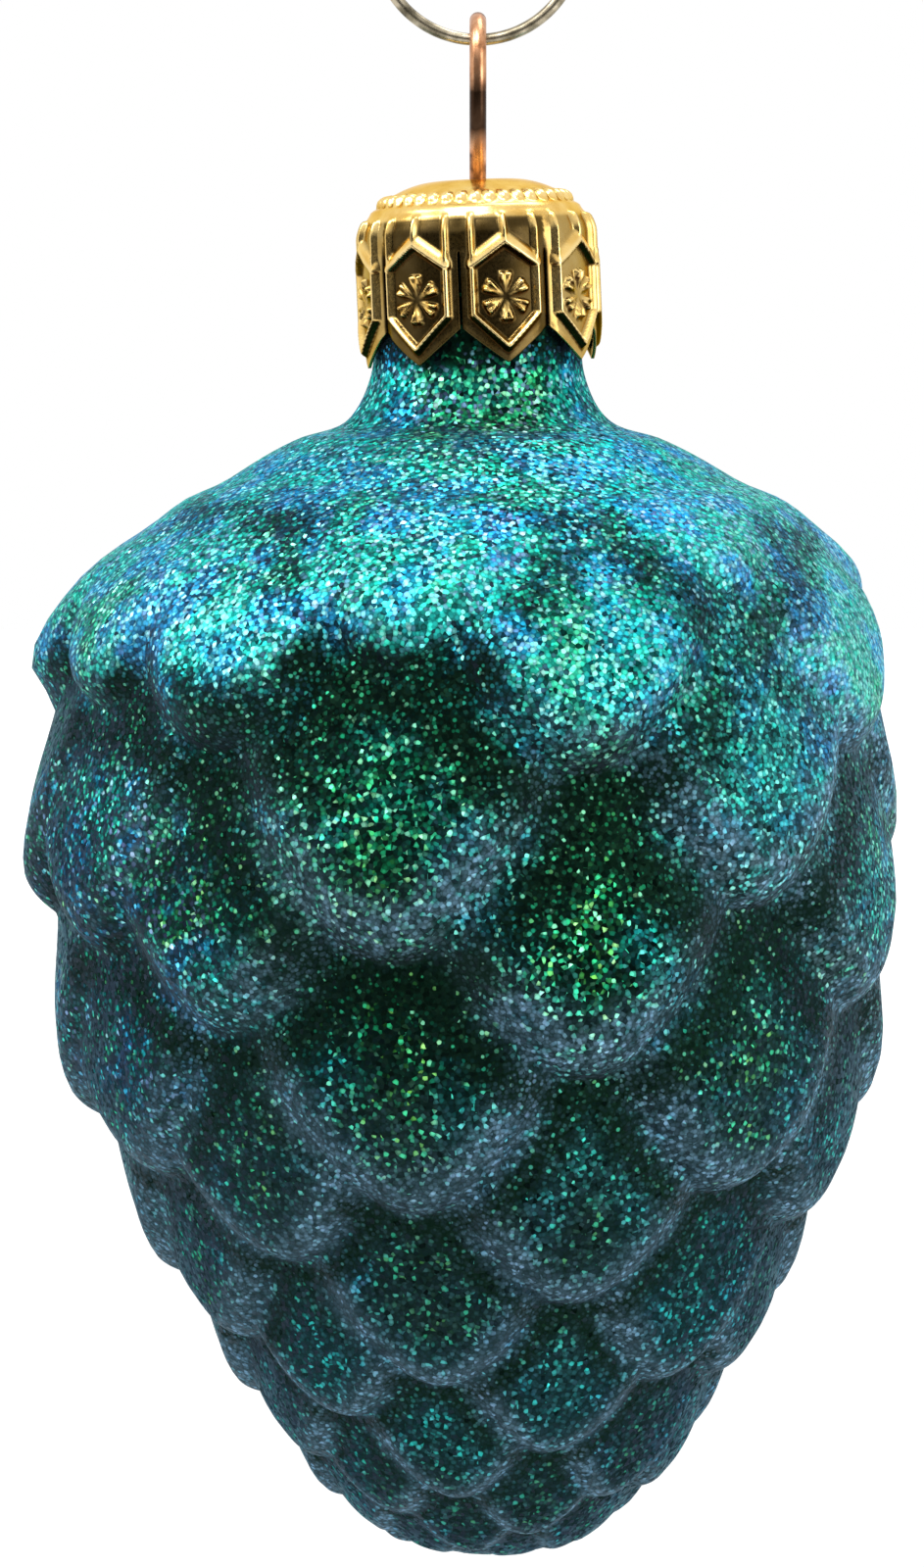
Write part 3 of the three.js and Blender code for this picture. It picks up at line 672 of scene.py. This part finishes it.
def relief(turn, step, radius):
    """Height over the ground, and the haze, under and flank tones, at each point: haze is a painted
    sheen along the lips, under a painted shade below them.
    """
    lift = radius + LIFT
    lip = LIP * lift * smooth((step - FADE_START) / FADE_LENGTH)
    fall = LIP_SLOPE * lift
    scales = []
    for i in range(len(COLUMNS)):
        for ring in range(-UPPER_RINGS, RINGS):
            found = scale_top(i, ring, turn, step, lip, fall, lift) if (i + ring) % 2 else None
            if found:
                scales.append([values.astype(np.float32) for values in found])
    heights, insides, tops, sides = [np.array(values) for values in zip(*scales)]
    order = np.sort(heights, axis=0)
    first, second = order[-1], order[-2]
    height = first + BLEND * np.log(np.exp((heights - first) / BLEND).sum(0))
    height -= BLEND * np.log(len(heights)) * np.exp(-first / BLEND)
    other = np.where(heights >= first - 1e-9, second, first)
    bare = np.clip((tops - other) / BARE_RISE, 0, 1)
    # Painted sheen: a hazy band along each bare lip
    haze = (bare * bell(insides, HAZE_PLACE * fall, HAZE_SPREAD * fall)).max(0)
    # Painted shade: a dark band below each bare lip, wider and lower under the wide upper scales
    depth = 0.5 + 0.5 * smooth((radius - 15) / 8) * smooth((4.5 - step) / 3)
    under_place = -(UNDER_PLACE + UNDER_DEEPER * depth) * fall
    under = (bare * bell(insides, under_place, UNDER_SPREAD * depth * fall)).max(0)
    side = np.take_along_axis(sides, heights.argmax(0)[None], 0)[0]
    return height, np.clip(haze, 0, 1), np.clip(under, 0, 1), smooth(side / 0.9) * (first > 0.2)


def glass_rows(ground, turn):
    """Ring steps of the rows round the body: they follow every visible edge closely."""
    rows = [np.full(turn.shape, ground.step[0])]
    for ring in range(EDGE_RINGS):
        edge = edge_steps(ring, turn)
        count = NECK_ROWS if ring == 0 else SCALE_ROWS
        above = rows[-1]
        for k in range(1, count):
            rows.append(above + (edge - EDGE_REACH - above) * k / count)
        for k in range(-EDGE_ROWS, EDGE_ROWS + 1):
            rows.append(edge + EDGE_REACH * k / EDGE_ROWS)
    above = rows[-1]
    for k in range(1, TIP_ROWS + 1):
        rows.append(above + (ground.step[-1] - above) * k / TIP_ROWS)
    return np.array(rows)


def sway(level):
    """How far the hand-blown body wanders to the right of its line, in mm, at each height."""
    shares, offsets = zip(*SWAY)
    return np.interp((NECK_FOOT_Z - level) / BODY_LENGTH, shares, offsets)


def inner_rows(ground):
    """Radius and height of the inside from the tip up to the mouth's rounded edge."""
    index = np.linspace(0, len(ground.points) - 1, INSIDE_ROWS).astype(int)
    fade = smooth((ground.step[index] - FADE_START) / FADE_LENGTH)
    lip = LIP * (ground.points[index, 0] + LIFT) * fade
    depth = INSIDE_SHARE * lip - WALL
    inner = ground.points[index] + ground.out[index] * depth[:, None]
    inner[0] = ground.points[0] + (-WALL, -0.1)
    inner[-1, 0] = 0
    mouth = [(NECK_R - WALL * 0.85, NECK_TOP - 0.02), (NECK_R - WALL * 0.5, NECK_TOP + 0.05)]
    return np.vstack([inner[::-1], mouth])


def glass_cone():
    """The blown body: glitter over its scales outside, silvering inside."""
    ground = Ground()
    sides = COLUMN_SIDES * len(COLUMNS)
    turn = FIRST_COLUMN + np.arange(sides) * 2 * np.pi / sides
    step = glass_rows(ground, turn)
    turns = np.broadcast_to(turn, step.shape)
    r, z, out_r, out_z = ground.at(step)
    height, haze, under, flank = relief(turns, step, r)
    height *= smooth(r / TIP_REACH)
    radius, level = r + out_r * height, z + out_z * height
    outside = np.stack([radius * np.sin(turns), -radius * np.cos(turns), level], -1)
    outside[..., 0] += sway(level)
    # The tone's channels: painted sheen on the lips, painted shade below them, and the scales' flanks
    tone = np.stack([haze, under, flank, np.ones_like(haze)], -1)

    inner = inner_rows(ground)
    bore, levels = inner[:, :1], np.repeat(inner[:, 1:], sides, 1)
    inside = np.stack([bore * np.sin(turn), -bore * np.cos(turn), levels], -1)
    inside[..., 0] += sway(levels)
    plain = np.zeros((len(inner), sides, 4))
    plain[..., 3] = 1
    faces = grid_faces(len(outside) + len(inner), sides, wrap_rows=True)
    slots = np.zeros(len(faces), dtype=np.int32)
    slots[(len(outside) - 1) * sides:] = 1
    points = np.concatenate([outside, inside]).reshape(-1, 3)
    tones = np.concatenate([tone, plain]).reshape(-1, 4)
    return new_object("glass_body", points, faces, [glitter, silver], slots, tones)


def ridge_height(x, drop, ends, widths, height):
    """A roof-shaped ridge along a line; widths are its reach above and below the line."""
    x0, d0, x1, d1 = ends
    span = np.array([x1 - x0, d1 - d0])
    share = np.clip(((x - x0) * span[0] + (drop - d0) * span[1]) / (span @ span), 0, 1)
    away_x, away_d = x - x0 - share * span[0], drop - d0 - share * span[1]
    gap = np.hypot(away_x, away_d)
    width = np.where(away_d < 0, widths[0], widths[1])
    return height * np.clip(1 - gap / width, 0, 1) ** 0.8


def cap_rows():
    """Drop, radius and joined flag of the rows of one petal's grid.

    u goes from -1 to 1 across the petal; bottom is its lower edge, and split is where its slits begin.
    """
    u = np.linspace(-1, 1, PETAL_COLUMNS)
    split = CAP_H - SLIT
    flat = np.ones(len(u))
    rows = []
    for k in range(TOP_ROWS):
        r = HOLE_R + (DOME_FLAT - HOLE_R) * k / TOP_ROWS
        rows.append((0 * flat, r * flat, True))
    for k in range(DOME_ROWS):
        share = math.sin(k / DOME_ROWS * math.pi / 2) ** (2 / DOME_POWER)
        r = DOME_FLAT + (CAP_R - DOME_FLAT) * share
        rows.append((dome_drop(share, DOME_H) * flat, r * flat, True))
    for k in range(BAND_ROWS):
        rows.append((DOME_H + (split - DOME_H) * k / BAND_ROWS * flat, CAP_R * flat, True))
    bottom = CAP_H - PETAL_POINT * np.abs(u) ** 1.06
    for k in range(PETAL_ROWS + 1):
        rows.append((split + (bottom - split) * (k / PETAL_ROWS) ** 0.96, CAP_R * flat, False))
    drops, radii, joined = [np.array([row[k] for row in rows]) for k in range(3)]
    return u, drops, radii, joined, bottom, split


def cap_bars(half):
    """The ridges of one petal: a six-sided frame, a bar over its peak and a post over each shoulder."""
    corners = [(0, FRAME_TOP), (half, FRAME_SHOULDER), (half, FRAME_FOOT)]
    corners += [(0, CAP_H - FRAME_MARGIN), (-half, FRAME_FOOT), (-half, FRAME_SHOULDER)]
    reaches = FRAME_REACHES + FRAME_REACHES[::-1]
    bars = [((*corners[i], *corners[(i + 1) % 6]), reaches[i], BAR_HEIGHT) for i in range(6)]
    bars.append(((0, CELL_TOP, 0, FRAME_TOP), PEAK_REACHES, PEAK_HEIGHT))
    for side in (-half, half):
        bars.append(((side, CELL_TOP, side, FRAME_SHOULDER), POST_REACHES, POST_HEIGHT))
    return bars


def petal_flower(x, drops):
    """Height of the leaves round a point in the middle of a petal's frame."""
    rho = np.hypot(x, drops - FLOWER_DROP)
    angle = np.arctan2(x, drops - FLOWER_DROP)
    pitch = 2 * math.pi / LEAVES
    lateral = rho * np.sin(np.abs((angle / pitch + 0.5) % 1 - 0.5) * pitch)
    width = LEAF_ROOT + LEAF_WIDTH * np.clip(rho / LEAF_WIDEST, 0, 1)
    ends = smooth((LEAF_END - rho) / 0.25) * smooth((rho - LEAF_START) / 0.14)
    flower = smooth((width - lateral) / 0.16) * ends * (0.35 + 0.65 * np.clip(lateral / 0.3, 0, 1))
    return FLOWER_HEIGHT * flower * np.clip(rho, 0.4, 1)


def petal_relief(x, drops, bars, half):
    """Height of a petal's ridges and flower."""
    ridge = np.zeros_like(x)
    for ends, widths, height in bars:
        bar = ridge_height(x, drops, ends, widths, height)
        ridge = np.maximum(ridge, bar * smooth((half + 0.4 - np.abs(x)) / 0.2))
    ridge = ridge * smooth((drops - CELL_TOP + 0.15) / 0.3)
    return np.maximum(ridge, petal_flower(x, drops))


def dome_relief(turn, drops, radii):
    """Height of the row of beads, and of the groove and the raised band below it."""
    place = (turn / (2 * math.pi) * BEADS + 0.5) % 1 - 0.5
    bead_gap = np.hypot(place * 2 * math.pi / BEADS * radii, (drops - BEAD_DROP) * BEAD_STRETCH)
    bead = BEAD_HEIGHT * np.clip(1 - (bead_gap / BEAD_R) ** 2, 0, 1) ** BEAD_ROUND
    band, groove = [height * bell(drops, drop, spread) for height, drop, spread in (BAND, GROOVE)]
    return bead, band - groove


def lean(points):
    """The sheet stands a little askew on the neck."""
    turn, pivot = math.radians(CAP_LEAN), CAP_TOP - CAP_H / 2
    x, z = points[:, 0].copy(), points[:, 2] - pivot
    points[:, 0] = x * math.cos(turn) - z * math.sin(turn)
    points[:, 2] = pivot + x * math.sin(turn) + z * math.cos(turn)
    return points


def crown_cap():
    """One embossed sheet: a dome with a row of beads over eight pointed petals."""
    pitch = 2 * math.pi / PETALS
    slot_half = PETAL_SLOT / CAP_R / 2
    u, drops, radii, joined, bottom, split = cap_rows()
    half = (CAP_R * pitch - PETAL_SLOT - 0.5) / 2 - SIDE_MARGIN
    bars = cap_bars(half)
    opening = np.clip((drops - split) / SLOT_ROUND, 0, 1) ** 0.5 * ~joined[:, None]
    turn = u[None, :] * (pitch / 2 - slot_half * opening)
    x = turn * CAP_R
    ridge = petal_relief(x, drops, bars, half)
    cell = smooth((drops - CELL_TOP) / 0.25)
    pressed = -CELL_DEPTH * cell * (1 - smooth(ridge / 0.2))
    edge_gap = (1 - np.abs(u))[None, :] * (pitch / 2 * CAP_R)
    tuck = -SIDE_TUCK * smooth(1 - edge_gap / 0.7) * smooth((drops - CELL_TOP) / 0.8)
    tuck = tuck - FOOT_TUCK * smooth(1 - (bottom[None, :] - drops) / 0.5) * (drops > split)
    flare = FLARE * smooth((drops - FLARE_START) / FLARE_LENGTH)
    slope = np.clip(drops / DOME_H, 0, 1)
    out_r = np.where(drops < DOME_H, slope**0.5, 1.0)
    out_z = np.where(drops < DOME_H, 1 - slope, 0.0)
    size = np.hypot(out_r, out_z)

    # Tones that are the same for every petal, but for how dark the painted shade in its hollows is
    # Painted shade in the pressed cells, a little lighter along the margins
    deep = cell * (1 - smooth((ridge + 0.02) / 0.2))
    margin = smooth((np.abs(x) - half - 0.1) / 0.2) + smooth((drops - bottom[None, :] + 0.75) / 0.2)
    deep = np.clip(deep * (1.0 - 0.06 * np.clip(margin, 0, 1)), 0, 1)
    # Painted shade in the slits between the petals
    slit = smooth(1.2 - edge_gap / 0.35) * smooth((drops - split + 1.5) / 1.5)

    vertices, tones, faces = [], [], []
    for petal in range(PETALS):
        where = math.radians(FRONT_PETAL) + petal * pitch + turn
        bead, band = dome_relief(where, drops, radii)
        height = ridge + tuck + pressed + bead + band + flare
        r = radii - SHEET_SUNK + height * out_r / size
        z = CAP_TOP - SHEET_SUNK - drops + height * out_z / size
        vertices.append(np.stack([r * np.sin(where), -r * np.cos(where), z], -1).reshape(-1, 3))
        # Painted shade under the facets that face down
        sinking = np.gradient(height, axis=0) / np.maximum(np.gradient(drops, axis=0), 0.01)
        below = smooth((-sinking - 0.15) / 0.4) * cell * (drops > DOME_H * 0.9)
        below[1:] = np.maximum(below[1:], 0.8 * below[:-1])
        hollow = np.maximum(deep * HOLLOW_SHADE[petal], slit)
        # Painted highlight on the tops of the ridges and beads
        crest_highlight = np.clip(smooth((ridge - 0.22) / 0.1) + smooth((bead - 0.1) / 0.12), 0, 1)
        tones.append(np.stack([hollow, crest_highlight, below, np.ones_like(hollow)], -1).reshape(-1, 4))
        faces += grid_faces(*drops.shape, wrap_columns=False, start=petal * drops.size)
    points = lean(np.concatenate(vertices))
    piece = new_object("cap_sheet", points, faces, gold, tone=np.concatenate(tones))
    thick = piece.modifiers.new("sheet", "SOLIDIFY")
    thick.thickness = SHEET * SHEET_SHOWS * MM
    thick.offset = -1
    return piece


def centripetal(p, per):
    """A centripetal Catmull-Rom curve through the points."""
    p = np.vstack([2 * p[0] - p[1], p, 2 * p[-1] - p[-2]])
    share = np.linspace(0, 1, per, endpoint=False)[:, None]
    runs = []
    for i in range(1, len(p) - 2):
        p0, p1, p2, p3 = p[i - 1:i + 3]
        d0, d1, d2 = [math.sqrt(np.linalg.norm(b - a)) for a, b in ((p0, p1), (p1, p2), (p2, p3))]
        t1 = ((p1 - p0) / d0 - (p2 - p0) / (d0 + d1) + (p2 - p1) / d1) * d1
        t2 = ((p2 - p1) / d1 - (p3 - p1) / (d1 + d2) + (p3 - p2) / d2) * d1
        cubic, square = 2 * (p1 - p2) + t1 + t2, 3 * (p2 - p1) - 2 * t1 - t2
        runs.append(p1 + t1 * share + square * share**2 + cubic * share**3)
    return np.vstack(runs + [p[-2:-1]])


def hanger_path():
    """The wire's middle line: a loop through the ring, a throat in the cap and two legs that spread."""
    bow = LOOP_WIDTH / 2
    bow_middle = LOOP_TOP - bow
    throat = THROAT / 2
    leg_foot = BORE - GAP - WIRE / 2
    turns = [math.radians(degrees) for degrees in BOW_TURNS]
    side = [(bow * math.sin(t), bow_middle + bow * math.cos(t)) for t in turns]
    side.append((bow * BELLY_WIDTH, bow_middle + (CAP_TOP - bow_middle) * BELLY_DROP))
    side += [(throat, CAP_TOP + SHEET), (throat, CAP_TOP - 2 * SHEET)]
    side.append((throat + (leg_foot - throat) * LEG_BEND, (CAP_TOP + LEG_END) / 2))
    side += [(leg_foot, LEG_END + WIRE), (leg_foot, LEG_END)]
    legs = [(0, -y, z) for y, z in reversed(side)] + [(0, y, z) for y, z in side]
    return centripetal(np.array(legs), HANGER_POINTS)


def ring_path():
    """The ring's middle line, from one side of its closed joint round to the other."""
    radius = (RING_INSIDE + RING_WIRE) / 2
    open_turn = RING_GAP / radius
    share = np.linspace(0, 1, RING_POINTS)
    turn = math.radians(RING_JOINT) + open_turn / 2 + share * (2 * math.pi - open_turn)
    across, up = radius * np.cos(turn), RING_MIDDLE + radius * np.sin(turn)
    return np.column_stack([across, np.zeros(len(turn)), up])


# The four pieces, each on its own body
glass = glass_cone()
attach(glass, "glass")
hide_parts("glass_cone")

cap = crown_cap()
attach(cap, "cap")
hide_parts("crown_cap")

hanger = tube("hanger", hanger_path(), WIRE / 2, WIRE_SIDES, copper)
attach(hanger, "hanger")
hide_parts("hanger_wire")

ring = tube("ring", ring_path(), RING_WIRE / 2 - RING_SUNK, WIRE_SIDES, brass)
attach(ring, "ring")
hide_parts("hanging_ring")

# Stage, camera and light, in metres and watts
scene = bpy.context.scene
scene.view_settings.view_transform = "Standard"
FLOOR_REACH, FLOOR_LEVEL, FLOOR_SIDES = 2.5, -0.19, 64
CARD_RADIUS, CARD_HALF, CARD_LOW, CARD_HIGH, CARD_PARTS = 0.85, math.radians(62), -0.42, 0.27, 24
AMBIENT, LAMP_AIM = 0.675, (0, 0, -0.06)
LAMPS = [  # name, place, size and power
    ("key", (-0.08, -0.20, 0.34), (0.24, 0.20), 1.05),
    ("top", (0.12, 0.10, 0.36), (0.22, 0.22), 0.6),
    ("left", (-0.32, -0.10, 0.26), (0.20, 0.20), 0.6),
    ("side", (0.40, -0.30, 0.02), (0.25, 0.35), 1.0),
]
CAMERA_PLACE, LOOKS_DOWN, LENS, SENSOR, NEAREST = (-0.001, -0.2998, -0.0326), 5.1, 108.36, 36, 0.01


def stage_piece(name, points, faces, material):
    mesh = bpy.data.meshes.new(name)
    mesh.from_pydata(points, [], faces)
    mesh.materials.append(material)
    made = bpy.data.objects.new(name, mesh)
    scene.collection.objects.link(made)
    return made


def floor_look():
    """Pale floor that keeps the shadow near the object and turns white further out."""
    look = Look("floor")
    place = look.place()
    away = look.node("VectorMath", {0: place}, operation="LENGTH").outputs["Value"]
    glow = look.remap(away, 0.25, 0.9, 0.16, 0.75)
    return look.finish(
        Base_Color=grey(0.86), Roughness=0.9, Specular_IOR_Level=0.1,
        Emission_Color=grey(1.0), Emission_Strength=look.times(look.background_rays(), glow))


def floor():
    turns = [2 * math.pi * k / FLOOR_SIDES for k in range(FLOOR_SIDES)]
    points = [(FLOOR_REACH * math.cos(t), FLOOR_REACH * math.sin(t), 0) for t in turns]
    made = stage_piece("floor", points, [tuple(range(FLOOR_SIDES))], floor_look())
    made.location.z = FLOOR_LEVEL


def camera_side():
    """The dim side of the studio where the camera stands, which only reflections see."""
    turns = [-math.pi / 2 - CARD_HALF + 2 * CARD_HALF * k / CARD_PARTS for k in range(CARD_PARTS + 1)]
    line = [(CARD_RADIUS * math.cos(t), CARD_RADIUS * math.sin(t)) for t in turns]
    points = [(x, y, z) for z in (CARD_LOW, CARD_HIGH) for x, y in line]
    faces = [(k, k + 1, k + CARD_PARTS + 2, k + CARD_PARTS + 1) for k in range(CARD_PARTS)]
    dim = Look("camera_side")
    made = stage_piece("camera_side", points, faces, dim.finish(Base_Color=grey(0.06), Roughness=0.9))
    made.visible_camera = made.visible_diffuse = made.visible_shadow = False


def studio_world():
    """White to the camera, reflections and glass, and a soft even light to everything else."""
    world = bpy.data.worlds.new("studio")
    scene.world = world
    world.use_nodes = True
    nodes = Nodes(world.node_tree)
    strength = nodes.remap(nodes.background_rays(), 0.0, 1.0, AMBIENT, 1.0)
    sky = nodes.node("Background", {"Color": grey(1.0), "Strength": strength})
    nodes.node("OutputWorld", {"Surface": sky.outputs[0]})


def lamp(name, place, size, power):
    data = bpy.data.lights.new(name, "AREA")
    data.shape = "RECTANGLE"
    data.size, data.size_y = size
    data.energy = power
    made = bpy.data.objects.new(name, data)
    made.location = place
    made.rotation_euler = (Vector(LAMP_AIM) - Vector(place)).to_track_quat("-Z", "Y").to_euler()
    made.visible_camera = False
    scene.collection.objects.link(made)


floor()
camera_side()
studio_world()
for each in LAMPS:
    lamp(*each)

camera_data = bpy.data.cameras.new("camera")
camera_data.lens = LENS
camera_data.sensor_width = SENSOR
camera_data.clip_start = NEAREST
camera = bpy.data.objects.new("camera", camera_data)
camera.location = CAMERA_PLACE
camera.rotation_euler = (math.radians(90 - LOOKS_DOWN), 0, 0)
scene.collection.objects.link(camera)
scene.camera = camera
